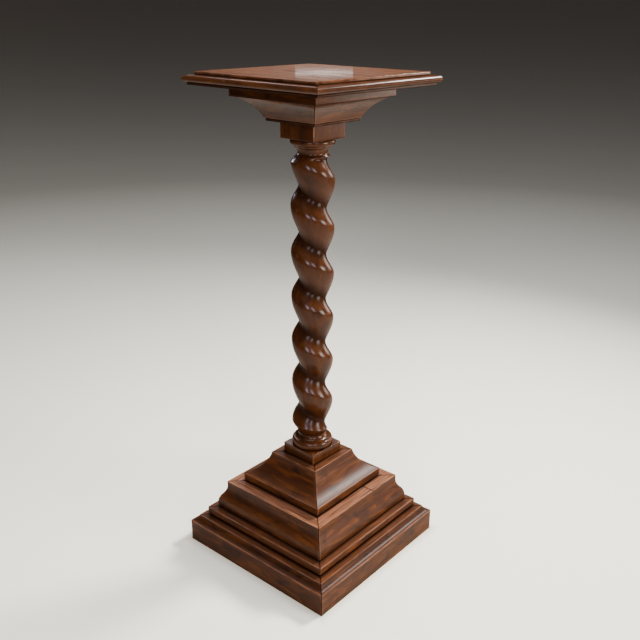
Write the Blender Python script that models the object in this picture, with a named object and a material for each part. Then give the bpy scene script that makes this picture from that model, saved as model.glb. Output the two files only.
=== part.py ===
"""Barley twist pedestal: a square stepped base, a turned twist column and a moulded square top.

Metres, +Z up. The origin is at the middle of the underside. The base's sides lie along X and Y, and
the corner at +X, -Y is the one that the photograph shows nearest. Every piece stands on the one below.
"""

import math

import bmesh
import bpy

# Joinery
GAP = 0.0003

# Plinth: a plain face and a small cove
PLINTH_SIDE = 0.4260
PLINTH_FACE_HEIGHT = 0.0543
PLINTH_EDGE_RADIUS = 0.0012
PLINTH_COVE_WIDTH = 0.0157
PLINTH_COVE_HEIGHT = 0.0148

# Step board: a sharp upper edge, the lower edge rounded under
STEP_SIDE = 0.3643
STEP_HEIGHT = 0.0222
STEP_FOOT_RADIUS = 0.0080

# Ogee stage: a bulge at the foot, a hollow above it and a plain fillet at the top. The bulge and the hollow
# are two arcs of circles that meet where both lean at the same slope from upright
OGEE_HEIGHT = 0.0702
OGEE_BULGE_SIDE = 0.3292
OGEE_FILLET_SIDE = 0.2942
OGEE_FOOT_HEIGHT = 0.0120
OGEE_FOOT_SETBACK = 0.0022
OGEE_BULGE_RADIUS = 0.0380
OGEE_SLOPE_DEGREES = 41.0

# Cove stage: a low face, rounded under, and a wide hollow that climbs to the column's block
COVE_FACE_SIDE = 0.2351
COVE_FACE_HEIGHT = 0.0223
COVE_FOOT_RADIUS = 0.0075
COVE_TOP_SIDE = 0.1384
COVE_HEIGHT = 0.0562
COVE_RADIUS = 0.0740

# Column: turned from one square length, with a block left at each end
BLOCK_SIDE = 0.0970
FOOT_BLOCK_HEIGHT = 0.0244
SHAFT_LENGTH = 0.7229
NECK_BLOCK_HEIGHT = 0.0348
TORUS_RADIUS = 0.0483
TORUS_HEIGHT = 0.0185
TORUS_BULGE = 0.0050
FOOT_NECK_RADIUS = 0.0305
FOOT_NECK_HEIGHT = 0.0120
RING_RADIUS = 0.0483
RING_HEIGHT = 0.0128
RING_BULGE = 0.0050
RING_FILLET_RADIUS = 0.0390
RING_FILLET_HEIGHT = 0.0045
HEAD_NECK_RADIUS = 0.0320
HEAD_NECK_HEIGHT = 0.0185

# Twist: one left-handed strand. The ridge's share is measured round the section from the groove upward,
# so the full underside lies before it and the top flank, which sweeps into the next groove, after it
TWIST_RADIUS = 0.0478
GROOVE_RADIUS = 0.0301
TWIST_PITCH = 0.1035
RIDGE_SHARE = 0.56
UNDERSIDE_SHARPNESS = 1.23
TOP_FLANK_SHARPNESS = 2.14
GROOVE_ANGLE_AT_FOOT = math.radians(135.2)
GROOVE_RUN_OUT = 0.0100
FOOT_SHOULDER_HEIGHT = 0.0300
FOOT_SHOULDER_ROUNDING = 1.05
HEAD_SHOULDER_HEIGHT = 0.0200
HEAD_SHOULDER_ROUNDING = 1.40

# Head: turned a little against the base, as the photograph shows
HEAD_TURN = math.radians(-2.37)
HEAD_FOOT_SIDE = 0.1383
HEAD_FILLET_HEIGHT = 0.0060
HEAD_FILLET_STEP = 0.0024
HEAD_HOLLOW_HEIGHT = 0.0431
HEAD_HOLLOW_SIDE = 0.2330
HEAD_HOLLOW_RADIUS = 0.0770
ABACUS_SIDE = 0.2433
ABACUS_HEIGHT = 0.0223

# Top: a wide board with a half-round nose, and a thin raised panel
TOP_FILLET_SIDE = 0.3615
TOP_FILLET_HEIGHT = 0.0058
TOP_NOSE_SIDE = 0.3777
TOP_NOSE_HEIGHT = 0.0130
TOP_SLOPE_HEIGHT = 0.0022
PANEL_SIDE = 0.3398
PANEL_HEIGHT = 0.0055
PANEL_EDGE_RADIUS = 0.0008

# How finely curves are cut
ARC_STEPS = 8
EDGE_STEPS = 2
NECK_STEPS = 4
RING_STEPS = 6
ROUND_SIDES = 28
RINGS_PER_TURN = 19
STAGE_SMOOTH_ANGLE = math.radians(25)
COLUMN_SMOOTH_ANGLE = math.radians(40)

MAHOGANY_DARK = (0.045, 0.012, 0.005, 1.0)
MAHOGANY_RED = (0.075, 0.017, 0.007, 1.0)
MAHOGANY_TOP = (0.090, 0.028, 0.014, 1.0)

# Colour and roughness of each piece
FINISHES = {
    "plinth": (MAHOGANY_DARK, 0.35),
    "step_board": (MAHOGANY_DARK, 0.35),
    "ogee_stage": (MAHOGANY_DARK, 0.32),
    "cove_stage": (MAHOGANY_RED, 0.25),
    "barley_twist_column": (MAHOGANY_RED, 0.18),
    "head_cavetto": (MAHOGANY_DARK, 0.30),
    "abacus_board": (MAHOGANY_DARK, 0.35),
    "top_moulding": (MAHOGANY_TOP, 0.28),
    "top_panel": (MAHOGANY_TOP, 0.22),
}


def wood(piece):
    """The polished wood of one piece."""
    colour, roughness = FINISHES[piece]
    material = bpy.data.materials.new(f"{piece}_mahogany")
    material.use_nodes = True
    shader = material.node_tree.nodes["Principled BSDF"]
    shader.inputs["Base Color"].default_value = colour
    shader.inputs["Roughness"].default_value = roughness
    shader.inputs["Metallic"].default_value = 0.0
    material.diffuse_color = colour
    return material


def quarter(centre, radii, start, end, steps):
    """Points (half, z) on an ellipse about centre, from angle start to angle end in degrees."""
    points = []
    for step in range(steps + 1):
        angle = math.radians(start + (end - start) * step / steps)
        points.append((centre[0] + radii[0] * math.cos(angle), centre[1] + radii[1] * math.sin(angle)))
    return points


def hollow(low, high, radius, steps):
    """Points on the arc of this radius from low to high that sags towards the piece's middle."""
    run, rise = high[0] - low[0], high[1] - low[1]
    chord = math.hypot(run, rise)
    drop = math.sqrt(max(radius ** 2 - (chord / 2) ** 2, 0.0))
    normal = (rise / chord, -run / chord)
    centre = ((low[0] + high[0]) / 2 + normal[0] * drop, (low[1] + high[1]) / 2 + normal[1] * drop)
    first = math.atan2(low[1] - centre[1], low[0] - centre[0]) % math.tau
    last = math.atan2(high[1] - centre[1], high[0] - centre[0]) % math.tau
    return quarter(centre, (radius, radius), math.degrees(first), math.degrees(last), steps)


def square_ring(half, z, count):
    """Points round a square, the first at its +X, +Y corner."""
    corners = [(half, half), (-half, half), (-half, -half), (half, -half)]
    per_side = count // 4
    ring = []
    for index in range(4):
        (x0, y0), (x1, y1) = corners[index], corners[(index + 1) % 4]
        for step in range(per_side):
            share = step / per_side
            ring.append((x0 + (x1 - x0) * share, y0 + (y1 - y0) * share, z))
    return ring


def loft(name, rings, turn, smooth_angle):
    """One closed body through rings of equal count, with a flat cap at each end."""
    mesh = bpy.data.meshes.new(name)
    body = bmesh.new()
    loops = [[body.verts.new(point) for point in ring] for ring in rings]
    count = len(loops[0])
    for lower, upper in zip(loops, loops[1:]):
        for index in range(count):
            after = (index + 1) % count
            body.faces.new((lower[index], lower[after], upper[after], upper[index]))
    body.faces.new(list(reversed(loops[0])))
    body.faces.new(loops[-1])
    body.to_mesh(mesh)
    body.free()
    mesh.materials.append(wood(name))
    mesh.shade_smooth()
    mesh.set_sharp_from_angle(angle=smooth_angle)
    piece = bpy.data.objects.new(name, mesh)
    piece.rotation_euler = (0.0, 0.0, turn)
    bpy.context.scene.collection.objects.link(piece)
    return piece


def stage(name, profile, turn=0.0):
    """A square piece: its profile of (half, z) carried round four mitred corners."""
    rings = [square_ring(half, z, 4) for half, z in profile]
    return loft(name, rings, turn, STAGE_SMOOTH_ANGLE)


def make_plinth(floor):
    half = PLINTH_SIDE / 2
    top = floor + PLINTH_FACE_HEIGHT + PLINTH_COVE_HEIGHT
    face_top = floor + PLINTH_FACE_HEIGHT
    edge = PLINTH_EDGE_RADIUS
    profile = [(half, floor)]
    profile += quarter((half - edge, face_top - edge), (edge, edge), 0, 90, EDGE_STEPS)
    cove = quarter((half - edge, top), (PLINTH_COVE_WIDTH - edge, PLINTH_COVE_HEIGHT), 270, 180, ARC_STEPS)
    profile += cove[1:]
    stage("plinth", profile)
    return top


def make_step_board(floor):
    half = STEP_SIDE / 2
    radius = STEP_FOOT_RADIUS
    profile = quarter((half - radius, floor + GAP + radius), (radius, radius), 270, 360, ARC_STEPS)
    profile.append((half, floor + STEP_HEIGHT))
    stage("step_board", profile)
    return floor + STEP_HEIGHT


def make_ogee_stage(floor):
    bulge, fillet = OGEE_BULGE_SIDE / 2, OGEE_FILLET_SIDE / 2
    back = OGEE_FOOT_SETBACK
    belly = floor + OGEE_FOOT_HEIGHT
    slope = math.radians(OGEE_SLOPE_DEGREES)
    both_radii = (bulge - fillet) / (1 - math.cos(slope))
    hollow_radius = both_radii - OGEE_BULGE_RADIUS
    hollow_top = belly + both_radii * math.sin(slope)
    bulge_centre = (bulge - OGEE_BULGE_RADIUS, belly)
    hollow_centre = (fillet + hollow_radius, hollow_top)
    profile = quarter((bulge - back, belly), (back, OGEE_FOOT_HEIGHT - GAP), 270, 360, ARC_STEPS)
    profile += quarter(bulge_centre, (OGEE_BULGE_RADIUS,) * 2, 0, OGEE_SLOPE_DEGREES, ARC_STEPS)[1:]
    profile += quarter(hollow_centre, (hollow_radius,) * 2, 180 + OGEE_SLOPE_DEGREES, 180, ARC_STEPS)[1:]
    profile.append((fillet, floor + OGEE_HEIGHT))
    stage("ogee_stage", profile)
    return floor + OGEE_HEIGHT


def make_cove_stage(floor):
    half, radius = COVE_FACE_SIDE / 2, COVE_FOOT_RADIUS
    profile = quarter((half - radius, floor + GAP + radius), (radius, radius), 270, 360, ARC_STEPS)
    low = (half, floor + COVE_FACE_HEIGHT)
    high = (COVE_TOP_SIDE / 2, low[1] + COVE_HEIGHT)
    profile += hollow(low, high, COVE_RADIUS, 2 * ARC_STEPS)
    stage("cove_stage", profile)
    return high[1]


def strand_height(phase):
    """How far the strand stands out at this share of the way round: 0 in the groove and 1 on the ridge."""
    if phase < RIDGE_SHARE:
        return math.sin(math.pi / 2 * phase / RIDGE_SHARE) ** UNDERSIDE_SHARPNESS
    return math.sin(math.pi / 2 * (1.0 - phase) / (1.0 - RIDGE_SHARE)) ** TOP_FLANK_SHARPNESS


def twist_radius(phase, z, foot, head):
    """Radius of the twist: a broad round strand, its narrow groove, and the shoulders at both ends."""
    ends = min((z - foot) / GROOVE_RUN_OUT, (head - z) / GROOVE_RUN_OUT, 1.0)
    ends = ends * ends * (3.0 - 2.0 * ends)
    radius = TWIST_RADIUS - (TWIST_RADIUS - GROOVE_RADIUS) * (1.0 - strand_height(phase)) * ends
    below_full = max(1.0 - (z - foot) / FOOT_SHOULDER_HEIGHT, 0.0) ** FOOT_SHOULDER_ROUNDING
    above_full = max(1.0 - (head - z) / HEAD_SHOULDER_HEIGHT, 0.0) ** HEAD_SHOULDER_ROUNDING
    foot_shoulder = TWIST_RADIUS - (TWIST_RADIUS - FOOT_NECK_RADIUS) * below_full
    head_shoulder = TWIST_RADIUS - (TWIST_RADIUS - HEAD_NECK_RADIUS) * above_full
    return min(radius, foot_shoulder, head_shoulder)


def make_column(floor):
    """Blocks, torus, twist and ring as one piece. Its facets follow the strand, so the groove is clean."""
    foot_top = floor + FOOT_BLOCK_HEIGHT
    shaft_top = foot_top + SHAFT_LENGTH
    top = shaft_top + NECK_BLOCK_HEIGHT
    torus_top = foot_top + TORUS_HEIGHT
    twist_foot = torus_top + FOOT_NECK_HEIGHT
    ring_foot = shaft_top - RING_HEIGHT
    twist_head = ring_foot - HEAD_NECK_HEIGHT

    torus_inner = TORUS_RADIUS - TORUS_BULGE
    torus_middle = foot_top + TORUS_HEIGHT / 2
    turned_foot = quarter((torus_inner, torus_middle), (TORUS_BULGE, TORUS_HEIGHT / 2), -90, 90, ARC_STEPS)
    hollow_width = torus_inner - FOOT_NECK_RADIUS
    foot_neck = quarter((torus_inner, twist_foot), (hollow_width, FOOT_NECK_HEIGHT), 270, 180, ARC_STEPS)
    turned_foot += foot_neck[1:-1]

    fillet_foot = ring_foot - RING_FILLET_HEIGHT
    neck_width = RING_FILLET_RADIUS - HEAD_NECK_RADIUS
    neck_height = fillet_foot - twist_head
    head_neck = quarter((RING_FILLET_RADIUS, twist_head), (neck_width, neck_height), 180, 90, NECK_STEPS)
    turned_head = head_neck[1:]
    turned_head.append((RING_FILLET_RADIUS, ring_foot))
    ring_middle = (RING_RADIUS - RING_BULGE, ring_foot + RING_HEIGHT / 2)
    turned_head += quarter(ring_middle, (RING_BULGE, RING_HEIGHT / 2), -90, 90, RING_STEPS)

    def circle(radius_at, z, turn):
        ring = []
        for index in range(ROUND_SIDES):
            share = index / ROUND_SIDES
            angle = turn + math.tau * share
            radius = radius_at(share)
            ring.append((radius * math.cos(angle), radius * math.sin(angle), z))
        return ring

    def nearest_square(half, z, turn):
        """A square ring whose points start beside the first point of a circle that starts at this turn."""
        ring = square_ring(half, z, ROUND_SIDES)
        shift = round((turn - math.pi / 4) / math.tau * ROUND_SIDES) % ROUND_SIDES
        return ring[shift:] + ring[:shift]

    def groove_angle(z):
        return GROOVE_ANGLE_AT_FOOT - HEAD_TURN - math.tau * (z - twist_foot) / TWIST_PITCH

    first, last = groove_angle(twist_foot), groove_angle(twist_head)
    half = BLOCK_SIDE / 2
    rings = [nearest_square(half, floor + GAP, first), nearest_square(half, foot_top, first)]
    for radius, z in turned_foot:
        rings.append(circle(lambda share, r=radius: r, z, first))
    length = twist_head - twist_foot
    steps = max(round(length / TWIST_PITCH * RINGS_PER_TURN), 1)
    for step in range(steps + 1):
        z = twist_foot + length * step / steps
        strand = circle(lambda share, h=z: twist_radius(share, h, twist_foot, twist_head), z, groove_angle(z))
        rings.append(strand)
    for radius, z in turned_head:
        rings.append(circle(lambda share, r=radius: r, z, last))
    rings += [nearest_square(half, shaft_top, last), nearest_square(half, top, last)]
    loft("barley_twist_column", rings, HEAD_TURN, COLUMN_SMOOTH_ANGLE)
    return top


def head_hollow(low, high, radius, steps):
    """The base's hollow upside down: the same arc, read from the narrow foot to the wide top."""
    flipped = hollow((high[0], -high[1]), (low[0], -low[1]), radius, steps)
    return [(half, -z) for half, z in reversed(flipped)]


def make_head_cavetto(floor):
    half = HEAD_FOOT_SIDE / 2
    fillet_top = floor + HEAD_FILLET_HEIGHT
    low = (half + HEAD_FILLET_STEP, fillet_top)
    high = (HEAD_HOLLOW_SIDE / 2, fillet_top + HEAD_HOLLOW_HEIGHT)
    profile = [(half, floor + GAP), (half, fillet_top)]
    profile += head_hollow(low, high, HEAD_HOLLOW_RADIUS, 2 * ARC_STEPS)
    stage("head_cavetto", profile, HEAD_TURN)
    return high[1]


def make_abacus_board(floor):
    half = ABACUS_SIDE / 2
    top = floor + ABACUS_HEIGHT
    stage("abacus_board", [(half, floor + GAP), (half, top)], HEAD_TURN)
    return top


def make_top_moulding(floor):
    fillet, nose = TOP_FILLET_SIDE / 2, TOP_NOSE_SIDE / 2
    radius = TOP_NOSE_HEIGHT / 2
    fillet_top = floor + TOP_FILLET_HEIGHT
    top = fillet_top + TOP_NOSE_HEIGHT + TOP_SLOPE_HEIGHT
    profile = [(fillet, floor + GAP), (fillet, fillet_top)]
    profile += quarter((nose - radius, fillet_top + radius), (radius, radius), -90, 90, 2 * ARC_STEPS)
    profile.append((PANEL_SIDE / 2, top))
    stage("top_moulding", profile, HEAD_TURN)
    return top


def make_top_panel(floor):
    half, edge = PANEL_SIDE / 2, PANEL_EDGE_RADIUS
    top = floor + PANEL_HEIGHT
    profile = [(half, floor + GAP)]
    profile += quarter((half - edge, top - edge), (edge, edge), 0, 90, EDGE_STEPS)
    stage("top_panel", profile, HEAD_TURN)
    return top


def main():
    for thing in list(bpy.data.objects):
        bpy.data.objects.remove(thing, do_unlink=True)
    level = 0.0
    makers = (
        make_plinth, make_step_board, make_ogee_stage, make_cove_stage, make_column,
        make_head_cavetto, make_abacus_board, make_top_moulding, make_top_panel)
    for make in makers:
        level = make(level)


if __name__ == "__main__":
    main()
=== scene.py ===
"""Barley twist pedestal, dressed: fine surfaces and French-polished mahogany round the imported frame.

Metres, +Z up. The base's sides lie along X and Y, and the near corner is at +X, -Y. The column and the
head are turned a little against the base. Every square stage is a profile carried round four mitred
sides, and the column is one grid that follows its strand.
"""
import math

import bpy
import numpy as np
from mathutils import Matrix, Vector


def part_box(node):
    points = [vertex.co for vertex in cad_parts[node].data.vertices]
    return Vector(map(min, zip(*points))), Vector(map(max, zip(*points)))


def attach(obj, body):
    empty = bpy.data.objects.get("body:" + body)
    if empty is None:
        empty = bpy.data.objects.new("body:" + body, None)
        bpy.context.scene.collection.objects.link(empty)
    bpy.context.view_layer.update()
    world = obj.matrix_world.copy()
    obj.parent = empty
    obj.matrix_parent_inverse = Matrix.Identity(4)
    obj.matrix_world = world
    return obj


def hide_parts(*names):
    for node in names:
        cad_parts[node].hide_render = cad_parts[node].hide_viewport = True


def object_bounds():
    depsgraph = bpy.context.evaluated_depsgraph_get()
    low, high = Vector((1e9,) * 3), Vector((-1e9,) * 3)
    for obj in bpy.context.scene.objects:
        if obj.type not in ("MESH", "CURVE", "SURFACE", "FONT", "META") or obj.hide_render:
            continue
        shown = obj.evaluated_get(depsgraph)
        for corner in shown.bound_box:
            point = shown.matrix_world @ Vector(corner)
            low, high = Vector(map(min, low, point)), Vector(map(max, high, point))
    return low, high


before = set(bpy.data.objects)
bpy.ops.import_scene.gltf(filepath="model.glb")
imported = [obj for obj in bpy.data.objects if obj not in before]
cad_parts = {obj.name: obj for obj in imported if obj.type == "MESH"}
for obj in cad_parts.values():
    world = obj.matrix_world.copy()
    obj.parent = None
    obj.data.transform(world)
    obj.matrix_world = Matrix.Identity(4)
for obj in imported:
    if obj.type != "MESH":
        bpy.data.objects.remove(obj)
CAD_BOX = [list(corner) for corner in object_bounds()]

bl_info = {
    "name": "Barley Twist Pedestal",
    "version": (1, 0, 0),
    "blender": (4, 5, 0),
    "location": "View3D > Sidebar > Pedestal",
    "description": "Makes a barley twist pedestal in polished mahogany, with its floor, lights and camera",
    "category": "Add Mesh",
}

HEAD_TURN = math.radians(-2.37)

# Outward direction of each side, and the direction along it, counter-clockwise from +X
SIDE_OUT = np.array([(1.0, 0.0), (0.0, 1.0), (-1.0, 0.0), (0.0, -1.0)])
SIDE_ALONG = np.array([(0.0, 1.0), (-1.0, 0.0), (0.0, -1.0), (1.0, 0.0)])

COLUMN_COLUMNS = 192
TWIST_ROWS_PER_TURN = 56

# Depth and wavelength of the slow and the quick unevenness, and how far above a foot it is in full
UNEVENNESS = ((0.00005, 0.055), (0.00002, 0.016))
UNEVEN_FROM = 0.004
# How far wear reaches from a corner, old wax from a mitre, painted shade from a piece above and from a
# foot, and old wax from a joint
CORNER_REACH, MITRE_REACH, PAINTED_SHADE_LEDGE_REACH, PAINTED_SHADE_FOOT_REACH, JOINT_REACH = 0.0035, 0.0012, 0.0045, 0.0022, 0.0014
# How far the wood's pattern shifts for the next side, for the next seed and past a joint, and where in X
# the side with the joint starts
SIDE_SHIFT, SEED_SHIFT, JOINT_SHIFT, JOINT_SIDE = 0.7, 0.31, 1.9, 0.08

# Azimuth from +X and elevation in degrees, distance, width and height in metres, radiance in watts per
# steradian and square metre, colour, the angle in degrees that the light spreads over, and the height
# on the pedestal that it faces
LIGHTS = {
    "window_behind": (72, 44, 3.0, 0.70, 0.46, 270.0, "#fffdf8", 90, 0.3),
    "window_right": (76, 10, 3.8, 2.3, 1.5, 26.0, "#fffaf4", 35, 0.5),
    "window_side": (19, 10, 3.8, 1.3, 1.5, 46.0, "#fffaf4", 70, 0.5),
    "window_front_left": (-62, 20, 5.6, 1.1, 1.9, 30.0, "#e6ebff", 120, 0.5),
    "window_front_right": (-30, 20, 5.6, 1.1, 1.9, 30.0, "#e6ebff", 120, 0.5),
    "window_far_left": (-127, 15, 5.0, 0.8, 0.6, 14.0, "#fff0ea", 10, 0.8),
    "sky_left": (170, 14, 3.2, 0.9, 0.4, 150.0, "#dfe9ff", 12, 0.96),
    "glow_left": (139, 25, 4.2, 0.9, 0.7, 20.0, "#f2dfe2", 60, 1.0),
    "glow_on_arrises": (160, 52, 4.0, 0.9, 0.5, 26.0, "#ffe3d4", 30, 0.15),
    "glow_on_ledges": (125, 36, 4.6, 1.5, 1.1, 6.0, "#fff0e4", 34, 0.15),
    "glow_on_top": (131, 4.5, 5.0, 1.75, 0.44, 0.55, "#ffe9e0", 20, 1.12),
    "patch_on_top": (130.0, 4.3, 5.0, 0.46, 0.035, 3.5, "#fff8f4", 14, 1.12),
    "low_right": (52, -6, 3.6, 1.0, 0.5, 24.0, "#ffeede", 16, 1.06),
    "overhead": (-70, 74, 4.0, 2.6, 2.6, 6.5, "#fffdfa", 180, 0.5),
}

# Sockets of Blender's Mix node when it mixes colours
MIX_FACTOR, MIX_A, MIX_B, MIX_RESULT = 0, 6, 7, 2


def linear(hex_colour):
    """The linear light of an sRGB hex colour, as red, green and blue."""
    shares = [int(hex_colour[place:place + 2], 16) / 255 for place in (1, 3, 5)]
    return tuple(share / 12.92 if share <= 0.04045 else ((share + 0.055) / 1.055) ** 2.4 for share in shares)


def length(name, description, default):
    """A length in metres that a user may change."""
    return bpy.props.FloatProperty(
        name=name, description=description, default=default, min=0.0, unit="LENGTH")


def colour(name, description, hex_colour):
    """A colour that a user may change."""
    return bpy.props.FloatVectorProperty(
        name=name, description=description, default=linear(hex_colour), size=3, min=0.0, max=1.0,
        subtype="COLOR")


def level(node):
    """The height of a node's foot and of its top."""
    low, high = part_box(node)
    return low.z, high.z


# Surfaces


def arc(centre, radii, start, end, steps):
    """Points (half, z) on an ellipse: centre plus radii times the cosine and sine of evenly spaced angles."""
    angle = np.radians(np.linspace(start, end, steps + 1))
    return np.stack([centre[0] + radii[0] * np.cos(angle), centre[1] + radii[1] * np.sin(angle)], axis=1)


def hollow(low, high, radius, steps):
    """Points on the circle of this radius through low and high that sags towards the middle of the piece."""
    low, high = np.array(low), np.array(high)
    run = high - low
    chord = np.hypot(*run)
    centre = (low + high) / 2 + np.array([run[1], -run[0]]) / chord * math.sqrt(radius ** 2 - chord ** 2 / 4)
    first, last = (np.degrees(np.arctan2(*(point - centre)[::-1])) % 360 for point in (low, high))
    return arc(centre, (radius, radius), first, last, steps)


def eased(points, radius):
    """The same profile with the arris at each sharp turn worn round.

    A turn of more than 20 degrees is replaced by the curve (1-t)^2 A + 2t(1-t) P + t^2 B, where A and B lie
    one radius from the turn P along its two straight runs.
    """
    points = np.asarray(points, float)
    points = points[np.concatenate([[True], np.hypot(*np.diff(points, axis=0).T) > 1e-6])]
    kept = [points[0]]
    shares = np.linspace(0.0, 1.0, 5)[:, None]
    for before, here, after in zip(points, points[1:], points[2:]):
        back, on = before - here, after - here
        back_length, on_length = np.hypot(*back), np.hypot(*on)
        turn = math.degrees(math.acos(np.clip(-back @ on / back_length / on_length, -1, 1)))
        if turn < 20:
            kept.append(here)
            continue
        reach = min(radius, back_length * 0.45, on_length * 0.45)
        start, end = here + back / back_length * reach, here + on / on_length * reach
        kept.extend((1 - shares) ** 2 * start + 2 * shares * (1 - shares) * here + shares ** 2 * end)
    kept.append(points[-1])
    return np.array(kept)


def even(points, step):
    """The same profile with points added along it, so that no two are further apart than step."""
    travelled = np.concatenate([[0.0], np.cumsum(np.hypot(*np.diff(points, axis=0).T))])
    added = np.arange(0.0, travelled[-1], step)
    gap = np.abs(added[:, None] - travelled[None, :]).min(axis=1)
    places = np.sort(np.concatenate([travelled, added[gap > step * 0.35]]))
    return np.stack([np.interp(places, travelled, points[:, axis]) for axis in (0, 1)], axis=1)


def bending(profile):
    """How sharply a profile bends at each point, in radians: more than 0 on an arris, less in a crease."""
    run = np.diff(profile, axis=0)
    heading = np.unwrap(np.arctan2(run[:, 1], run[:, 0]))
    bend = np.concatenate([[0.0], np.diff(heading), [0.0]])
    travelled = np.concatenate([[0.0], np.cumsum(np.hypot(*run.T))])
    near = np.exp(-((travelled[:, None] - travelled[None, :]) / 0.0016) ** 2)
    return near @ bend


def ripple(places, wavelength, seed):
    """Smooth unevenness between about -1 and 1: the sum of six plane sine waves in seeded directions."""
    random = np.random.default_rng(seed)
    total = np.zeros(places.shape[:-1])
    for _ in range(6):
        direction = random.normal(size=3)
        direction /= np.linalg.norm(direction) * wavelength * random.uniform(0.7, 1.4)
        total += np.sin(math.tau * (places @ direction) + random.uniform(0, math.tau))
    return total / 4.2


def grid_mesh(name, places, grain, marks, turn):
    """A closed skin over a grid of places (rows, columns, 3), whose columns run round counter-clockwise.

    Rows climb the outside, and the first and last rows are closed with flat caps. grain gives four vectors
    for each face, its wood's own (along, across, up), and marks are one number for each place.
    """
    rows, columns = places.shape[:2]
    index = np.arange(rows * columns).reshape(rows, columns)
    after = np.roll(index, -1, axis=1)
    quads = np.stack([index[:-1], after[:-1], after[1:], index[1:]], axis=-1).reshape(-1, 4)
    faces = quads.tolist() + [index[0][::-1].tolist(), index[-1].tolist()]
    spin = np.array(Matrix.Rotation(turn, 3, "Z"))
    mesh = bpy.data.meshes.new(name)
    mesh.from_pydata((places.reshape(-1, 3) @ spin.T).tolist(), [], faces)
    caps = np.concatenate([places[0][::-1], places[-1]])
    grains = np.concatenate([grain.reshape(-1, 3), caps]).astype(np.float32)
    mesh.attributes.new("grain", "FLOAT_VECTOR", "CORNER").data.foreach_set("vector", grains.ravel())
    for mark, values in marks.items():
        values = np.clip(values, 0.0, 1.0).astype(np.float32)
        mesh.attributes.new(mark, "FLOAT", "POINT").data.foreach_set("value", values.ravel())
    mesh.shade_smooth()
    piece = bpy.data.objects.new(name, mesh)
    bpy.context.scene.collection.objects.link(piece)
    return piece


def side_columns(spacing, half):
    """Where the columns of a square stage stand, for one square of half width 1.

    Gives the places of the corner centres or side points, the outward directions that the corner radius
    is laid along, and the side that each column's face belongs to.
    """
    count = max(int(2 * half / spacing), 12)
    close = np.array([0.0005, 0.0012, 0.0022, 0.0036, 0.0056, 0.0085]) / half
    middle = np.linspace(-1 + close[-1] * 1.5, 1 - close[-1] * 1.5, count)
    shares = np.concatenate([[-1.0], -1 + close, middle, 1 - close[::-1]])
    angles = np.radians(np.linspace(0, 90, 9))[:-1]
    stations, outward, sides = [], [], []
    for side in range(4):
        out, along = SIDE_OUT[side], SIDE_ALONG[side]
        stations += [out + shares[:, None] * along, np.repeat([out + along], len(angles), axis=0)]
        outward += [
            np.repeat([out], len(shares), axis=0),
            np.cos(angles)[:, None] * out + np.sin(angles)[:, None] * along]
        later = np.where(angles < math.pi / 4 - 0.01, side, (side + 1) % 4)
        sides += [np.full(len(shares), side), later]
    return np.concatenate(stations), np.concatenate(outward), np.concatenate(sides)


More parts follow.
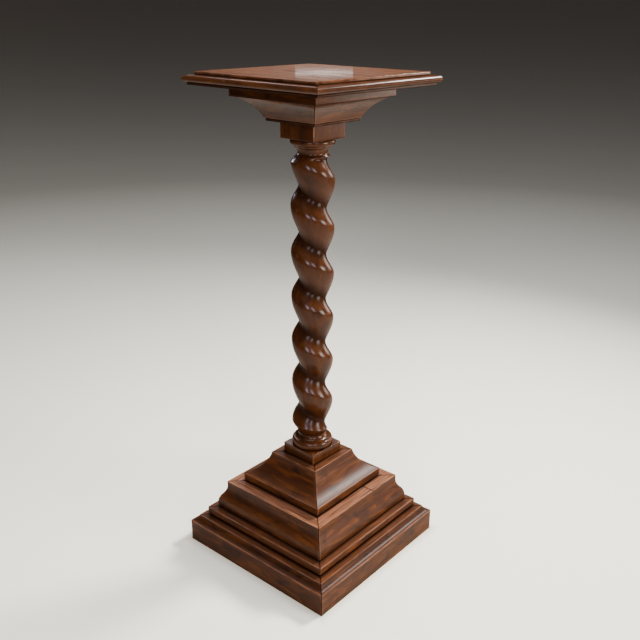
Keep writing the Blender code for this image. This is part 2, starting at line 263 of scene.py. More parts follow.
def stage_piece(name, profile, corner, seed, turn=0.0, dents=(), spacing=0.003, mitred=True, carries=0.0,
                rubbed=0.2, joint=None, uneven=1.0):
    """A square moulded stage: its profile of (half, z) carried round four mitred sides or round one board.

    A place is (half - corner) times its station on the unit square, plus corner times its outward
    direction, at the profile's height. Old wood is never flat, so the skin lies up to 0.14 mm inside that,
    and each dent (place, width, depth, wear) pushes it in by depth times exp(-(distance / width)^2).

    carries is the half width of the piece that stands on it, round which shade is painted on the ledge in the
    colour of old wax, and rubbed is how bare its ledge is. joint is how far along its +X side another board
    starts, and uneven is its share of the unevenness.
    """
    stations, outward, sides = side_columns(spacing, profile[:, 0].max())
    half = profile[:, 0][:, None]
    radius = np.minimum(corner, half * 0.3)
    flat = (half - radius)[..., None] * stations[None] + radius[..., None] * outward[None]
    height = np.repeat(profile[:, 1][:, None], len(sides), axis=1)
    places = np.concatenate([flat, height[..., None]], axis=2)

    run = np.gradient(profile, axis=0)
    across = np.stack([run[:, 1], -run[:, 0]], axis=1)
    across /= np.maximum(np.hypot(*across.T), 1e-9)[:, None]
    climb = np.repeat(across[:, 1][:, None, None], len(sides), axis=1)
    skin = np.concatenate([across[:, 0][:, None, None] * outward[None], climb], axis=2)

    low = profile[:, 1].min()
    sunk = sum(
        depth * (1 + ripple(places, wavelength, seed + draw))
        for draw, (depth, wavelength) in enumerate(UNEVENNESS))
    sunk *= uneven * np.clip((height - low) / UNEVEN_FROM, 0, 1)
    bruised = np.zeros_like(sunk)
    for place, width, depth, bare in dents:
        near = np.exp(-(np.linalg.norm(places - np.array(place), axis=2) / width) ** 2)
        sunk = sunk + depth * near
        bruised = bruised + bare * near

    bend = bending(profile)[:, None]
    from_corner = half - np.abs(flat).min(axis=2)
    mitre = np.abs(np.abs(flat[..., 0]) - np.abs(flat[..., 1])) / math.sqrt(2)
    at_corner = np.exp(-(from_corner / CORNER_REACH) ** 2) * (np.abs(across[:, 0])[:, None] > 0.4)
    ledge = np.repeat(np.clip((across[:, 1] - 0.8) / 0.2, 0, 1)[:, None], len(sides), axis=1)
    wear = np.clip((bend - 0.35) * 1.3, 0, 1) + 0.75 * at_corner + np.maximum(bruised, 0)
    # Painted shade in the creases, and real dark wax in the pits and along the mitres
    wax_and_shade_mark = np.clip(-bend * 1.8, 0, 1) + np.maximum(-bruised, 0)
    wax_and_shade_mark = wax_and_shade_mark + np.exp(-(mitre / MITRE_REACH) ** 2) * mitred
    # Painted shade on the ledge round the piece above, and along this piece's own foot
    wax_and_shade_mark = wax_and_shade_mark + ledge * np.exp(-(np.maximum(half - carries, 0) / PAINTED_SHADE_LEDGE_REACH) ** 2) * (carries > 0)
    wax_and_shade_mark = wax_and_shade_mark + np.exp(-((height - low) / PAINTED_SHADE_FOOT_REACH) ** 2) * (low > 0.001)
    if joint is not None:
        line = np.exp(-((places[..., 1] - joint) / JOINT_REACH) ** 2)
        wax_and_shade_mark = wax_and_shade_mark + 1.2 * (places[..., 0] > JOINT_SIDE) * ledge * line
    places = places - skin * sunk[..., None]

    after = np.roll(places, -1, axis=1)
    faces = np.stack([places[:-1], after[:-1], after[1:], places[1:]], axis=2)
    if mitred:
        along = np.einsum("ijkc,jc->ijk", faces[..., :2], SIDE_ALONG[sides])
        out = np.einsum("ijkc,jc->ijk", faces[..., :2], SIDE_OUT[sides])
        board = SIDE_SHIFT * sides[None, :, None] + seed * SEED_SHIFT
        if joint is not None:
            board = board + JOINT_SHIFT * ((faces[..., 0] > JOINT_SIDE) & (faces[..., 1] > joint))
        grain = np.stack([along + board, out + board, faces[..., 2]], axis=-1)
    else:
        grain = faces + (0.0, 0.0, seed * SEED_SHIFT)
    return grid_mesh(name, places, grain, {"wear": wear, "wax_and_shade_mark": wax_and_shade_mark, "ledge": ledge * rubbed}, turn)


# Finishes


def add(tree, kind, settings=None, inputs=None):
    """Adds one node, with its settings, and its inputs as values or as sockets to link."""
    made = tree.nodes.new(kind)
    for name, value in (settings or {}).items():
        setattr(made, name, value)
    for name, value in (inputs or {}).items():
        if isinstance(value, bpy.types.NodeSocket):
            tree.links.new(value, made.inputs[name])
        else:
            made.inputs[name].default_value = value
    return made


# Each pattern of the wood: its length along the grain and width across it in metres, noise detail and
# distortion. The real pores are about 0.2 mm wide and are drawn wider, so that they show.
PATTERNS = {
    "tone": (0.240, 0.034, 2.0, 0.3),
    "ribbon": (0.070, 0.0110, 3.0, 0.6),
    "streak": (0.070, 0.0024, 3.0, 0.4),
    "pore": (0.0150, 0.0011, 1.0, 0.0),
    "cloud": (0.045, 0.028, 4.0, 0.8),
}

# roughness and sheen are the wood's own, coat and coat_roughness the polish's, and even is how much of the
# coat its thinnest streaks keep. The rest are how strongly each pattern and each mark shows.
FINISHES = {
    "base": {
        "roughness": 0.45, "sheen": 0.0, "coat": 0.26, "coat_roughness": 0.39, "even": 0.90,
        "tone": 0.55, "figure": 0.24, "streak": 0.12, "cloud": 0.60, "pore": 0.20,
        "wax_and_shade_mark": 0.95, "wear": 0.30, "ledge": 0.60, "bump": 0.04},
    "column": {
        "roughness": 0.40, "sheen": 0.0, "coat": 0.28, "coat_roughness": 0.22, "even": 0.95,
        "tone": 0.3, "figure": 0.08, "streak": 0.04, "cloud": 0.45, "pore": 0.10,
        "wax_and_shade_mark": 0.85, "wear": 0.45, "ledge": 0.1, "bump": 0.02},
    "head": {
        "roughness": 0.42, "sheen": 0.0, "coat": 0.30, "coat_roughness": 0.20, "even": 0.80,
        "tone": 0.5, "figure": 0.18, "streak": 0.16, "cloud": 0.40, "pore": 0.25,
        "wax_and_shade_mark": 0.95, "wear": 0.25, "ledge": 0.5, "bump": 0.03},
    "top": {
        "roughness": 0.40, "sheen": 0.0, "coat": 0.46, "coat_roughness": 0.05, "even": 0.50,
        "tone": 0.8, "figure": 0.55, "streak": 0.60, "cloud": 0.45, "pore": 0.45,
        "wax_and_shade_mark": 0.6, "wear": 0.25, "ledge": 0.6, "bump": 0.004},
}


def polished_mahogany(name, finish, shades):
    """French-polished mahogany: thin shellac over red-brown wood whose grain runs along each board.

    It gives the eye a deep brown with a faint figure, soft highlights, pale bare wood on the arrises,
    near-black wax in the pores and mitres, and near-black painted shade in the creases.
    """
    material = bpy.data.materials.new(name)
    material.use_nodes = True
    tree = material.node_tree
    tree.nodes.clear()
    seen = {
        mark: add(tree, "ShaderNodeAttribute", {"attribute_name": mark}).outputs["Fac"]
        for mark in ("wear", "wax_and_shade_mark", "ledge")}
    grain = add(tree, "ShaderNodeAttribute", {"attribute_name": "grain"}).outputs["Vector"]
    for key, (long, wide, detail, distortion) in PATTERNS.items():
        stretched = add(tree, "ShaderNodeMapping", None, {
            "Vector": grain, "Scale": (1 / long, 1 / wide, 1 / wide)})
        seen[key] = add(tree, "ShaderNodeTexNoise", None, {
            "Vector": stretched.outputs["Vector"], "Scale": 1.0, "Detail": detail, "Distortion": distortion,
        }).outputs["Fac"]

    # Each share: the pattern or mark that it follows, two values of that, and its own value at each
    shares = {
        "middle": ("tone", 0.36, 0.64, 0.5 - finish["tone"] / 2, 0.5 + finish["tone"] / 2),
        "light": ("ribbon", 0.46, 0.70, 0.0, finish["figure"]),
        "streaks": ("streak", 0.44, 0.66, 0.0, finish["streak"]),
        "clouds": ("cloud", 0.50, 0.72, 0.0, finish["cloud"]),
        "pores": ("pore", 0.60, 0.72, 0.0, finish["pore"]),
        "on_ledge": ("streak", 0.35, 0.65, 0.2 * finish["ledge"], finish["ledge"]),
        "on_arris": ("cloud", 0.35, 0.60, 0.25 * finish["wear"], finish["wear"]),
        "rough": ("cloud", 0.35, 0.70, finish["roughness"] * 0.8, finish["roughness"] * 1.35),
        # Less coat where old wax and painted shade lie
        "coat_under_wax_and_shade": ("wax_and_shade_mark", 0.0, 1.0, finish["coat"], finish["coat"] * 0.25),
        "streaky": ("streak", 0.40, 0.60, finish["even"], 1.0),
    }
    for key, (source, low, high, least, most) in shares.items():
        seen[key] = add(tree, "ShaderNodeMapRange", {"interpolation_type": "SMOOTHSTEP"}, {
            "Value": seen[source], "From Min": low, "From Max": high, "To Min": least, "To Max": most,
        }).outputs["Result"]
    for key, first, second in (
            ("bare_ledge", seen["on_ledge"], seen["ledge"]), ("bare_arris", seen["on_arris"], seen["wear"]),
            ("wax_and_shade_share", seen["wax_and_shade_mark"], finish["wax_and_shade_mark"]), ("polish", seen["coat_under_wax_and_shade"], seen["streaky"]),
            ("fine", seen["streak"], 0.5)):
        seen[key] = add(tree, "ShaderNodeMath", {"operation": "MULTIPLY"}, {
            0: first, 1: second}).outputs["Value"]

    dark, middle, light, worn, dark_wax_and_shade = (tuple(shade) + (1.0,) for shade in shades)
    wood = dark
    # The last mix lays real dark wax and painted shade in the creases and the groove
    for share, shade in (
            ("middle", middle), ("light", light), ("streaks", dark), ("clouds", dark_wax_and_shade), ("pores", dark_wax_and_shade),
            ("bare_ledge", worn), ("bare_arris", worn), ("wax_and_shade_share", dark_wax_and_shade)):
        wood = add(tree, "ShaderNodeMix", {"data_type": "RGBA"}, {
            MIX_FACTOR: seen[share], MIX_A: wood, MIX_B: shade}).outputs[MIX_RESULT]

    height = add(tree, "ShaderNodeMath", {"operation": "MULTIPLY_ADD"}, {
        0: seen["pore"], 1: -0.35, 2: seen["fine"]}).outputs["Value"]
    bump = add(tree, "ShaderNodeBump", None, {
        "Height": height, "Strength": finish["bump"], "Distance": 0.0006})
    shader = add(tree, "ShaderNodeBsdfPrincipled", None, {
        "Base Color": wood, "Roughness": seen["rough"], "Normal": bump.outputs["Normal"], "IOR": 1.5,
        "Specular IOR Level": finish["sheen"], "Coat Weight": seen["polish"],
        "Coat Roughness": finish["coat_roughness"], "Coat IOR": 1.5})
    add(tree, "ShaderNodeOutputMaterial", None, {"Surface": shader.outputs["BSDF"]})
    return material


def dressed(piece, node, finish):
    """Gives a piece its finish, lets it stand for its node and rides it on the one body."""
    shades = bpy.context.scene.pedestal_shades
    colours = (shades.dark, shades.middle, shades.light, shades.worn, shades.dark_wax_and_shade)
    name = f"polished_mahogany_{finish}"
    material = bpy.data.materials.get(name) or polished_mahogany(name, FINISHES[finish], colours)
    piece.data.materials.append(material)
    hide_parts(node)
    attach(piece, "root")


# Settings


class BaseSizes(bpy.types.PropertyGroup):
    """Sizes of the stepped base."""

    plinth_side: length("Plinth side", "Width of the plinth", 0.4260)
    plinth_face: length("Plinth face", "Height of the plinth's plain face", 0.0543)
    plinth_cove_width: length("Plinth cove width", "How far the plinth's cove cuts in", 0.0157)
    step_side: length("Step side", "Width of the step board", 0.3643)
    step_foot_radius: length("Step rounding", "Rounding under the step board", 0.0080)
    ogee_belly_side: length("Ogee belly side", "Width of the ogee stage at its belly", 0.3292)
    ogee_fillet_side: length("Ogee fillet side", "Width of the ogee stage at its top", 0.2942)
    ogee_foot: length("Ogee foot", "Height of the curve under the belly", 0.0120)
    ogee_foot_setback: length("Ogee setback", "How far the ogee's foot goes in", 0.0022)
    ogee_belly_radius: length("Ogee belly radius", "Radius of the belly's arc", 0.0380)
    cove_face_side: length("Cove face side", "Width of the cove stage at its face", 0.2351)
    cove_face: length("Cove face", "Height of the cove stage's face", 0.0223)
    cove_foot_radius: length("Cove rounding", "Rounding under the cove stage", 0.0075)
    cove_top_side: length("Cove top side", "Width of the cove stage at its top", 0.1384)
    cove_radius: length("Cove radius", "Radius of the wide hollow", 0.0740)
    arris: length("Arris", "How far the base's arrises are worn", 0.0011)


class ColumnSizes(bpy.types.PropertyGroup):
    """Sizes of the turned column."""

    block_side: length("Block side", "Width of the blocks at both ends", 0.0970)
    foot_block: length("Foot block", "Height of the foot block", 0.0244)
    neck_block: length("Neck block", "Height of the neck block", 0.0348)
    torus_radius: length("Torus radius", "Radius of the torus at the foot", 0.0483)
    torus_height: length("Torus height", "Height of the torus", 0.0185)
    bulge: length("Bulge", "How far the torus and the ring swell", 0.0050)
    foot_neck_radius: length("Foot neck radius", "Radius of the neck over the torus", 0.0305)
    foot_neck: length("Foot neck", "Height of the hollow over the torus", 0.0120)
    ring_radius: length("Ring radius", "Radius of the ring at the head", 0.0483)
    ring_height: length("Ring height", "Height of the ring", 0.0128)
    ring_fillet_radius: length("Ring fillet radius", "Radius of the fillet under the ring", 0.0390)
    ring_fillet: length("Ring fillet", "Height of the fillet under the ring", 0.0045)
    head_neck_radius: length("Head neck radius", "Radius of the neck under the ring", 0.0320)
    head_neck: length("Head neck", "Height of the neck under the ring", 0.0185)
    twist_radius: length("Twist radius", "Radius of the twist at its ridge", 0.0478)
    groove_radius: length("Groove radius", "Radius of the twist in its groove", 0.0301)
    pitch: length("Twist pitch", "Rise of one full turn", 0.1035)


class HeadSizes(bpy.types.PropertyGroup):
    """Sizes of the moulded head and top."""

    foot_side: length("Cavetto foot side", "Width of the cavetto at its foot", 0.1383)
    fillet: length("Cavetto fillet", "Height of the cavetto's foot fillet", 0.0060)
    fillet_step: length("Fillet step", "How far the hollow starts outside the fillet", 0.0024)
    hollow_side: length("Hollow side", "Width of the cavetto at its top", 0.2330)
    hollow_radius: length("Hollow radius", "Radius of the cavetto's hollow", 0.0770)
    abacus_side: length("Abacus side", "Width of the abacus board", 0.2433)
    top_fillet_side: length("Top fillet side", "Width of the fillet under the nose", 0.3615)
    top_fillet: length("Top fillet", "Height of the fillet under the nose", 0.0058)
    nose_side: length("Nose side", "Width of the top over its nose", 0.3777)
    nose_height: length("Nose height", "Height of the half-round nose", 0.0130)
    panel_side: length("Panel side", "Width of the raised panel", 0.3398)
    arris: length("Arris", "How far the head's arrises are worn", 0.0008)


class Shades(bpy.types.PropertyGroup):
    """Colours of the wood and of the stage."""

    dark: colour("Dark wood", "Shade between the figure", "#291307")
    middle: colour("Middle wood", "The wood's main shade", "#3b1d08")
    light: colour("Light wood", "Shade of the figure", "#733d12")
    worn: colour("Worn wood", "Shade where the polish is rubbed through", "#96644a")
    # Dark wax in the pores and the mottling, and painted shade in the creases, round the feet and in the
    # groove
    dark_wax_and_shade: colour("Old wax", "Shade of the dark wax in pores and creases", "#0d0503")
    floor: colour("Floor", "Shade of the floor", "#ece8da")
    # A painted contact shadow on the floor round the base
    warm: colour("Warm floor", "Shade of the floor right beside the base", "#b8a88c")
    backdrop: colour("Backdrop", "Shade of the far floor, which sweeps up into it", "#453f38")


# Operators


class MakeBase(bpy.types.Operator):
    """Make the plinth, step board, ogee stage and cove stage"""

    bl_idname = "pedestal.make_base"
    bl_label = "Make Base"

    ogee_slope = 41.0
    corner = 0.0012
    # Place, width, depth and bareness of each pit and chip: below 0 it is filled with old wax instead
    cove_marks = (
        ((0.1020, -0.0800, 0.1870), 0.0013, 0.0006, -0.8),
        ((0.1010, -0.0700, 0.1865), 0.0012, 0.0006, -0.8),
        ((0.0980, -0.0560, 0.1885), 0.0014, 0.0006, -0.7),
        ((0.0960, 0.0180, 0.1900), 0.0014, 0.0005, -0.6),
        ((0.0960, 0.0330, 0.1900), 0.0012, 0.0005, -0.6),
        ((0.0705, -0.0705, 0.2330), 0.0030, 0.0006, 1.6),
    )

    def execute(self, context):
        sizes = context.scene.pedestal_base
        self.plinth(sizes)
        self.step_board(sizes)
        self.ogee_stage(sizes)
        self.cove_stage(sizes)
        return {"FINISHED"}

    def plinth(self, sizes):
        """Profile: a plain face, then a quarter of an ellipse cut in, and a level ledge."""
        foot, top = level("plinth")
        half = sizes.plinth_side / 2
        face = foot + sizes.plinth_face
        edge = sizes.arris
        rounding = arc((half - edge, face - edge), (edge, edge), 0, 90, 6)
        cove = arc((half - edge, top), (sizes.plinth_cove_width - edge, top - face), 270, 180, 20)[1:]
        profile = np.concatenate([[(half, foot)], rounding, cove, [(half - 0.06, top)]])
        profile = even(eased(profile, sizes.arris), 0.0035)
        piece = stage_piece("plinth_dressed", profile, self.corner, 11, carries=0.1805, uneven=0.3)
        dressed(piece, "plinth", "base")

    def step_board(self, sizes):
        """Profile: a quarter circle under the face, a plain face and a level ledge."""
        foot, top = level("step_board")
        half, radius = sizes.step_side / 2, sizes.step_foot_radius
        rounding = arc((half - radius, foot + radius), (radius, radius), 270, 360, 12)
        profile = np.concatenate([[(half - 0.02, foot)], rounding, [(half, top), (half - 0.05, top)]])
        profile = even(eased(profile, sizes.arris * 0.7), 0.0035)
        piece = stage_piece("step_board_dressed", profile, self.corner, 23, carries=0.1630)
        dressed(piece, "step_board", "base")

    def ogee_stage(self, sizes):
        """Profile: a quarter ellipse under the belly, two arcs that meet at a slope, a fillet and a ledge."""
        foot, top = level("ogee_stage")
        belly, fillet = sizes.ogee_belly_side / 2, sizes.ogee_fillet_side / 2
        back, radius = sizes.ogee_foot_setback, sizes.ogee_belly_radius
        slope = math.radians(self.ogee_slope)
        rise = foot + sizes.ogee_foot
        both = (belly - fillet) / (1 - math.cos(slope))
        under = arc((belly - back, rise), (back, sizes.ogee_foot), 270, 360, 10)
        bulge = arc((belly - radius, rise), (radius, radius), 0, self.ogee_slope, 20)[1:]
        inward = arc(
            (fillet + both - radius, rise + both * math.sin(slope)), (both - radius, both - radius),
            180 + self.ogee_slope, 180, 20)[1:]
        profile = np.concatenate([
            [(belly - 0.02, foot)], under, bulge, inward, [(fillet, top), (fillet - 0.05, top)]])
        profile = even(eased(profile, sizes.arris * 0.8), 0.0025)
        piece = stage_piece(
            "ogee_stage_dressed", profile, self.corner, 37, spacing=0.0015, carries=0.1160, rubbed=1.0,
            joint=0.053)
        dressed(piece, "ogee_stage", "base")

    def cove_stage(self, sizes):
        """Profile: a quarter circle under the face, the face, an arc of a circle inwards and a ledge."""
        foot, top = level("cove_stage")
        half, radius = sizes.cove_face_side / 2, sizes.cove_foot_radius
        face = foot + sizes.cove_face
        rounding = arc((half - radius, foot + radius), (radius, radius), 270, 360, 12)
        curve = hollow((half, face), (sizes.cove_top_side / 2, top), sizes.cove_radius, 40)
        profile = np.concatenate([
            [(half - 0.02, foot)], rounding, curve, [(sizes.cove_top_side / 2 - 0.04, top)]])
        profile = even(eased(profile, sizes.arris), 0.0018)
        piece = stage_piece(
            "cove_stage_dressed", profile, self.corner, 41, dents=self.cove_marks, spacing=0.0018,
            carries=0.0485)
        dressed(piece, "cove_stage", "base")


class MakeColumn(bpy.types.Operator):
    """Make the turned column, with its two blocks, its torus, its twist and its ring"""

    bl_idname = "pedestal.make_column"
    bl_label = "Make Column"

    groove_angle_at_foot = math.radians(135.2)
    ridge, underside, top_flank, run_out = 0.56, 1.23, 2.14, 0.0100
    foot_shoulder, foot_rounding = 0.0300, 1.05
    head_shoulder, head_rounding = 0.0200, 1.40
    arris, squareness, crowding = 0.0009, 60.0, 0.88

    def execute(self, context):
        sizes = context.scene.pedestal_column
        count = COLUMN_COLUMNS
        foot, top = level("barley_twist_column")
        block_top, shaft_top = foot + sizes.foot_block - 0.0003, top - sizes.neck_block
        twist_foot = block_top + sizes.torus_height + sizes.foot_neck
        ring_foot = shaft_top - sizes.ring_height
        twist_head = ring_foot - sizes.head_neck
        index = np.arange(count)

        def groove_angle(z):
            return self.groove_angle_at_foot - HEAD_TURN - math.tau * (z - twist_foot) / sizes.pitch

        def square_angles(start):
            """Angles of a square ring beside evenly spaced ones from start, crowded towards the corners."""
            shift = round((start - math.pi / 4) / math.tau * count)
            angle = math.pi / 4 + math.tau * (index + shift) / count
            return angle - self.crowding * np.sin(4 * (angle - math.pi / 4)) / 4

        foot_even = groove_angle(twist_foot) + math.tau * index / count
        head_even = groove_angle(twist_head) + math.tau * index / count
        foot_square, head_square = square_angles(foot_even[0]), square_angles(head_even[0])

        def block_radius(angle, half):
            """Radius of a square with rounded corners: a sum of high powers in place of a sharp corner."""
            power = self.squareness
            return half * (np.abs(np.cos(angle)) ** power + np.abs(np.sin(angle)) ** power) ** (-1 / power)

        angles, radii, heights = [], [], []

        def row(angle, radius, z):
            angles.append(angle)
            radii.append(np.broadcast_to(radius, count))
            heights.append(z)

        half, arris = sizes.block_side / 2, self.arris
        for z in np.linspace(foot, block_top - arris, 9):
            row(foot_square, block_radius(foot_square, half), z)
        for share in np.linspace(0, 1, 5)[1:]:
            angle = share * math.pi / 2
            inset, rise = arris * (1 - math.cos(angle)), arris * math.sin(angle)
            row(foot_square, block_radius(foot_square, half - inset), block_top - arris + rise)
        torus_foot = sizes.torus_radius - sizes.bulge
        for share in np.linspace(0, 1, 9)[1:-1]:
            angle = foot_square + (foot_even - foot_square) * share
            row(angle, block_radius(angle, half - arris) * (1 - share) + torus_foot * share, block_top)
        torus_middle = block_top + sizes.torus_height / 2
        turned = arc((torus_foot, torus_middle), (sizes.bulge, sizes.torus_height / 2), -90, 90, 20)
        neck_in = torus_foot - sizes.foot_neck_radius
        neck = arc((torus_foot, twist_foot), (neck_in, sizes.foot_neck), 270, 180, 14)[1:-1]
        turned = np.concatenate([turned, neck])
        for radius, z in turned:
            row(foot_even, radius, z)

        rows = round((twist_head - twist_foot) / sizes.pitch * TWIST_ROWS_PER_TURN)
        phase = index / count
        under = np.sin(math.pi / 2 * np.minimum(phase / self.ridge, 1)) ** self.underside
        over = np.sin(math.pi / 2 * np.minimum((1 - phase) / (1 - self.ridge), 1)) ** self.top_flank
        strand = np.where(phase < self.ridge, under, over)
        for z in np.linspace(twist_foot, twist_head, rows + 1):
            ends = min((z - twist_foot) / self.run_out, (twist_head - z) / self.run_out, 1.0)
            ends = ends * ends * (3 - 2 * ends)
            radius = sizes.twist_radius - (sizes.twist_radius - sizes.groove_radius) * (1 - strand) * ends
            below = max(1 - (z - twist_foot) / self.foot_shoulder, 0.0) ** self.foot_rounding
            above = max(1 - (twist_head - z) / self.head_shoulder, 0.0) ** self.head_rounding
            limit = sizes.twist_radius - max(
                (sizes.twist_radius - sizes.foot_neck_radius) * below,
                (sizes.twist_radius - sizes.head_neck_radius) * above)
            row(groove_angle(z) + math.tau * phase, np.minimum(radius, limit), z)

        fillet, fillet_foot = sizes.ring_fillet_radius, ring_foot - sizes.ring_fillet
        ring_in = sizes.ring_radius - sizes.bulge
        neck_in, ring_half = fillet - sizes.head_neck_radius, sizes.ring_height / 2
        neck = arc((fillet, twist_head), (neck_in, fillet_foot - twist_head), 180, 90, 10)[1:]
        ring = arc((ring_in, ring_foot + ring_half), (sizes.bulge, ring_half), -90, 90, 16)
        step = 0.0003
        turned = np.concatenate([
            neck, [(fillet + step, fillet_foot + step), (fillet + step, ring_foot)], ring])
        for radius, z in turned:
            row(head_even, radius, z)
        for share in np.linspace(0, 1, 9)[1:-1]:
            angle = head_even + (head_square - head_even) * share
            row(angle, block_radius(angle, half - arris) * share + ring_in * (1 - share), shaft_top)
        for share in np.linspace(0, 1, 5):
            angle = share * math.pi / 2
            inset, rise = arris * (1 - math.sin(angle)), arris * (1 - math.cos(angle))
            row(head_square, block_radius(head_square, half - inset), shaft_top + rise)
        for z in np.linspace(shaft_top + arris, top, 11)[1:]:
            row(head_square, block_radius(head_square, half), z)

        angles, radii, heights = np.array(angles), np.array(radii), np.array(heights)
        climb = np.repeat(heights[:, None], count, axis=1)
        places = np.stack([radii * np.cos(angles), radii * np.sin(angles), climb], axis=2)
        wear, wax_and_shade_mark = self.marks(places, radii, heights, block_top, shaft_top, twist_foot, twist_head)
        after = np.roll(places, -1, axis=1)
        faces = np.stack([places[:-1], after[:-1], after[1:], places[1:]], axis=2)
        grain = faces[..., [2, 0, 1]]
        marks = {"wear": wear, "wax_and_shade_mark": wax_and_shade_mark, "ledge": np.zeros_like(wear)}
        piece = grid_mesh("column_dressed", places, grain, marks, HEAD_TURN)
        dressed(piece, "barley_twist_column", "column")
        return {"FINISHED"}

    def marks(self, places, radii, heights, block_top, shaft_top, twist_foot, twist_head):
        """Wear on the blocks' arrises, and painted shade, dark as old wax, in the groove and in the turned
        creases.
        """
        height = heights[:, None]
        block = (height < block_top + 1e-5) | (height > shaft_top - 1e-5)
        corner = np.abs(np.abs(places[..., 0]) - np.abs(places[..., 1])) / math.sqrt(2)
        wear = np.where(block & (radii > 0.055), np.exp(-(corner / 0.0011) ** 2), 0.0)
        twist = (height > twist_foot) & (height < twist_head)
        # Painted shade deep in the groove, and in the creases where the turned rings meet the blocks
        wax_and_shade_mark = np.where(twist, np.clip((0.0405 - radii) / 0.0100, 0, 1) * 0.8, 0.0)
        for crease in (block_top, shaft_top):
            wax_and_shade_mark = wax_and_shade_mark + np.exp(-((height - crease) / 0.0018) ** 2) * (np.abs(radii - 0.0433) < 0.004)
        return wear, wax_and_shade_mark


class MakeHead(bpy.types.Operator):
    """Make the cavetto, the abacus board and the moulding of the top"""

    bl_idname = "pedestal.make_head"
    bl_label = "Make Head"

    corner = 0.0010
    nose_marks = (((-0.0578, -0.1889, 1.1094), 0.0022, 0.0008, 1.0),)

    def execute(self, context):
        sizes = context.scene.pedestal_head
        self.cavetto(sizes)
        self.abacus(sizes)
        self.moulding(sizes)
        return {"FINISHED"}

    def cavetto(self, sizes):
        """Profile: a fillet, a small step out, then an arc of a circle that spreads to the abacus."""
        foot, top = level("head_cavetto")
        half = sizes.foot_side / 2
        fillet = foot + sizes.fillet
        low, high = (half + sizes.fillet_step, fillet), (sizes.hollow_side / 2, top)
        flipped = hollow((high[0], -high[1]), (low[0], -low[1]), sizes.hollow_radius, 40)
        curve = flipped[::-1] * (1, -1)
        profile = np.concatenate([[(half - 0.03, foot), (half, foot), (half, fillet)], curve])
        profile = even(eased(profile, sizes.arris), 0.003)
        piece = stage_piece("head_cavetto_dressed", profile, self.corner, 53, HEAD_TURN)
        dressed(piece, "head_cavetto", "head")

    def abacus(self, sizes):
        """Profile: a plain board with its two arrises worn round."""
        foot, top = level("abacus_board")
        half = sizes.abacus_side / 2
        profile = np.array([(half - 0.03, foot), (half, foot), (half, top), (half - 0.03, top)])
        profile = even(eased(profile, sizes.arris), 0.003)
        piece = stage_piece("abacus_board_dressed", profile, self.corner, 61, HEAD_TURN)
        dressed(piece, "abacus_board", "head")

    def moulding(self, sizes):
        """Profile: a fillet, a half circle for the nose, and a shallow slope up to the panel."""
        foot, top = level("top_moulding")
        fillet, radius = sizes.top_fillet_side / 2, sizes.nose_height / 2
        rise = foot + sizes.top_fillet
        nose = arc((sizes.nose_side / 2 - radius, rise + radius), (radius, radius), -90, 90, 24)
        inner = sizes.panel_side / 2
        profile = np.concatenate([
            [(fillet - 0.06, foot), (fillet, foot), (fillet, rise)], nose,
            [(inner, top), (inner - 0.02, top)]])
        profile = even(eased(profile, sizes.arris), 0.003)
        piece = stage_piece(
            "top_moulding_dressed", profile, self.corner, 71, HEAD_TURN, dents=self.nose_marks,
            carries=0.1699)
        dressed(piece, "top_moulding", "head")


class MakeTop(bpy.types.Operator):
    """Make the raised panel of the top"""

    bl_idname = "pedestal.make_top"
    bl_label = "Make Top Panel"

    corner = 0.0010
    top_marks = (((0.0942, -0.0992, 1.1200), 0.0050, 0.0001, 1.6),)

    def execute(self, context):
        sizes = context.scene.pedestal_head
        foot, top = level("top_panel")
        half = sizes.panel_side / 2
        profile = np.array([(half - 0.01, foot), (half, foot), (half, top), (0.0015, top)])
        profile = even(eased(profile, sizes.arris), 0.0035)
        piece = stage_piece(
            "top_panel_dressed", profile, self.corner, 83, HEAD_TURN, dents=self.top_marks, mitred=False,
            rubbed=0.5, uneven=0.15)
        dressed(piece, "top_panel", "top")
        return {"FINISHED"}


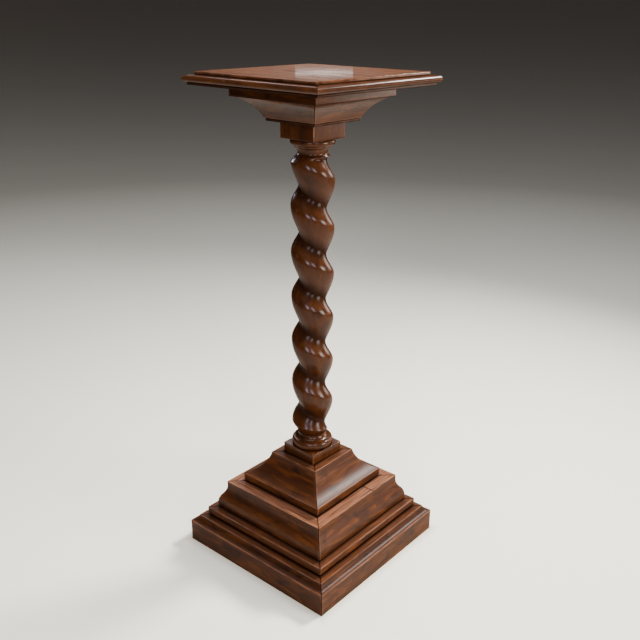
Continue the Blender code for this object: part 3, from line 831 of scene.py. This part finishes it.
class SetStage(bpy.types.Operator):
    """Lay the pale floor, hang the soft lights and place the camera"""

    bl_idname = "pedestal.set_stage"
    bl_label = "Set Stage"

    camera_place = (1.1167, -1.2833, 1.2442)
    camera_heading, camera_pitch, camera_roll = math.radians(40.451), 0.3728, 0.0052
    lens, sensor = 45.21, 36.0
    hub_radius, flat_radius, backdrop_radius, backdrop_bend, backdrop_height = 0.6, 2.4, 7.0, 2.5, 5.0
    pale_radius, sky = 1.8, 0.3
    sky_shade, warm_reach = "#fbfbff", 0.03

    def execute(self, context):
        shades = context.scene.pedestal_shades
        self.floor(shades)
        self.lights(context)
        self.camera(context)
        return {"FINISHED"}

    def floor(self, shades):
        """A round floor that sweeps up into a plain backdrop: the profile (r, z) turned about the middle."""
        far, bend, count = self.backdrop_radius, self.backdrop_bend, 96
        sweep = arc((far - bend, bend), (bend, bend), 270, 360, 12)
        profile = np.concatenate([
            [(self.hub_radius, 0.0), (self.flat_radius, 0.0)], sweep, [(far, self.backdrop_height)]])
        angle = math.tau * np.arange(count) / count
        places = np.stack([
            profile[:, :1] * np.cos(angle), profile[:, :1] * np.sin(angle),
            np.repeat(profile[:, 1:], count, axis=1)], axis=2)
        index = np.arange(len(profile) * count).reshape(len(profile), count)
        after = np.roll(index, -1, axis=1)
        faces = np.stack([index[:-1], index[1:], after[1:], after[:-1]], axis=-1).reshape(-1, 4).tolist()
        mesh = bpy.data.meshes.new("floor")
        mesh.from_pydata(places.reshape(-1, 3).tolist(), [], faces + [index[0].tolist()])
        mesh.shade_smooth()
        # Matt floor paint: even and nearly without gloss, browner where it meets the base, as a painted
        # contact shadow
        material = bpy.data.materials.new("painted_floor")
        material.use_nodes = True
        tree = material.node_tree
        tree.nodes.clear()
        place = add(tree, "ShaderNodeTexCoord").outputs["Object"]
        away = add(tree, "ShaderNodeVectorMath", {"operation": "LENGTH"}, {0: place}).outputs["Value"]
        share = add(tree, "ShaderNodeMapRange", {"interpolation_type": "SMOOTHSTEP"}, {
            "Value": away, "From Min": self.pale_radius, "From Max": far,
            "To Min": 0.0, "To Max": 1.0}).outputs["Result"]
        paint = add(tree, "ShaderNodeMix", {"data_type": "RGBA"}, {
            MIX_FACTOR: share, MIX_A: tuple(shades.floor) + (1.0,), MIX_B: tuple(shades.backdrop) + (1.0,)})
        axes = add(tree, "ShaderNodeSeparateXYZ", None, {"Vector": place}).outputs
        across, along = (
            add(tree, "ShaderNodeMath", {"operation": "ABSOLUTE"}, {0: axes[axis]}).outputs["Value"]
            for axis in "XY")
        square = add(tree, "ShaderNodeMath", {"operation": "MAXIMUM"}, {0: across, 1: along}).outputs["Value"]
        # Painted contact shadow in a band round the base's foot
        base = CAD_BOX[1][0]
        near = add(tree, "ShaderNodeMapRange", {"interpolation_type": "SMOOTHERSTEP"}, {
            "Value": square, "From Min": base - 0.02, "From Max": base + self.warm_reach,
            "To Min": 1.0, "To Max": 0.0})
        paint = add(tree, "ShaderNodeMix", {"data_type": "RGBA"}, {
            MIX_FACTOR: near.outputs["Result"], MIX_A: paint.outputs[MIX_RESULT],
            MIX_B: tuple(shades.warm) + (1.0,)})
        shader = add(tree, "ShaderNodeBsdfPrincipled", None, {
            "Base Color": paint.outputs[MIX_RESULT], "Roughness": 0.7, "Specular IOR Level": 0.2})
        add(tree, "ShaderNodeOutputMaterial", None, {"Surface": shader.outputs["BSDF"]})
        mesh.materials.append(material)
        floor = bpy.data.objects.new("floor", mesh)
        bpy.context.scene.collection.objects.link(floor)

    def lights(self, context):
        """Soft lights, each a rectangle that faces the pedestal, and a dim even light from all round."""
        for name, settings in LIGHTS.items():
            azimuth, elevation, distance, width, height, radiance, shade, spread, aim = settings
            azimuth, elevation = math.radians(azimuth), math.radians(elevation)
            level_share = math.cos(elevation)
            away = Vector((
                level_share * math.cos(azimuth), level_share * math.sin(azimuth), math.sin(elevation)))
            data = bpy.data.lights.new(name, "AREA")
            data.shape, data.size, data.size_y = "RECTANGLE", width, height
            # A narrower spread gathers the same power, so the power is cut to keep the radiance ahead
            half = math.radians(spread) / 2
            data.energy = radiance * math.pi * width * height * (1 - half / math.tan(half))
            data.color, data.spread = linear(shade), math.radians(spread)
            lamp = bpy.data.objects.new(name, data)
            facing = away.to_track_quat("Z", "Y").to_matrix().to_4x4()
            lamp.matrix_world = Matrix.Translation(Vector((0.0, 0.0, aim)) + away * distance) @ facing
            lamp.visible_camera = False
            bpy.context.scene.collection.objects.link(lamp)
        world = bpy.data.worlds.new("studio")
        world.use_nodes = True
        world.node_tree.nodes["Background"].inputs["Color"].default_value = linear(self.sky_shade) + (1.0,)
        world.node_tree.nodes["Background"].inputs["Strength"].default_value = self.sky
        context.scene.world = world

    def camera(self, context):
        """A 45 mm lens at the height of a standing onlooker's chest, looking down at the near corner."""
        data = bpy.data.cameras.new("camera")
        data.lens, data.sensor_width = self.lens, self.sensor
        camera = bpy.data.objects.new("camera", data)
        heading = Matrix.Rotation(self.camera_heading, 4, "Z")
        facing = heading @ Matrix.Rotation(math.pi / 2 - self.camera_pitch, 4, "X")
        rolled = facing @ Matrix.Rotation(self.camera_roll, 4, "Z")
        camera.matrix_world = Matrix.Translation(self.camera_place) @ rolled
        context.scene.collection.objects.link(camera)
        context.scene.camera = camera


class PEDESTAL_PT_sidebar(bpy.types.Panel):
    """The pedestal's sizes, colours and buttons"""

    bl_idname = "PEDESTAL_PT_sidebar"
    bl_label = "Barley Twist Pedestal"
    bl_space_type = "VIEW_3D"
    bl_region_type = "UI"
    bl_category = "Pedestal"

    def draw(self, context):
        for title, group, operators in SECTIONS:
            settings = getattr(context.scene, group)
            box = self.layout.box()
            box.label(text=title)
            for name in settings.bl_rna.properties.keys():
                if name not in ("rna_type", "name"):
                    box.prop(settings, name)
            for operator in operators:
                box.operator(operator.bl_idname)


GROUPS = {
    "pedestal_base": BaseSizes,
    "pedestal_column": ColumnSizes,
    "pedestal_head": HeadSizes,
    "pedestal_shades": Shades,
}
SECTIONS = (
    ("Base", "pedestal_base", (MakeBase,)),
    ("Column", "pedestal_column", (MakeColumn,)),
    ("Head", "pedestal_head", (MakeHead, MakeTop)),
    ("Colours", "pedestal_shades", (SetStage,)),
)
OPERATORS = (MakeBase, MakeColumn, MakeHead, MakeTop, SetStage)


def register():
    for name, group in GROUPS.items():
        bpy.utils.register_class(group)
        setattr(bpy.types.Scene, name, bpy.props.PointerProperty(type=group))
    for kind in OPERATORS + (PEDESTAL_PT_sidebar,):
        bpy.utils.register_class(kind)


def unregister():
    for kind in reversed(OPERATORS + (PEDESTAL_PT_sidebar,)):
        bpy.utils.unregister_class(kind)
    for name, group in reversed(GROUPS.items()):
        delattr(bpy.types.Scene, name)
        bpy.utils.unregister_class(group)


def main():
    register()
    for step in (
            bpy.ops.pedestal.make_base, bpy.ops.pedestal.make_column, bpy.ops.pedestal.make_head,
            bpy.ops.pedestal.make_top, bpy.ops.pedestal.set_stage):
        step()


if __name__ == "__main__":
    main()
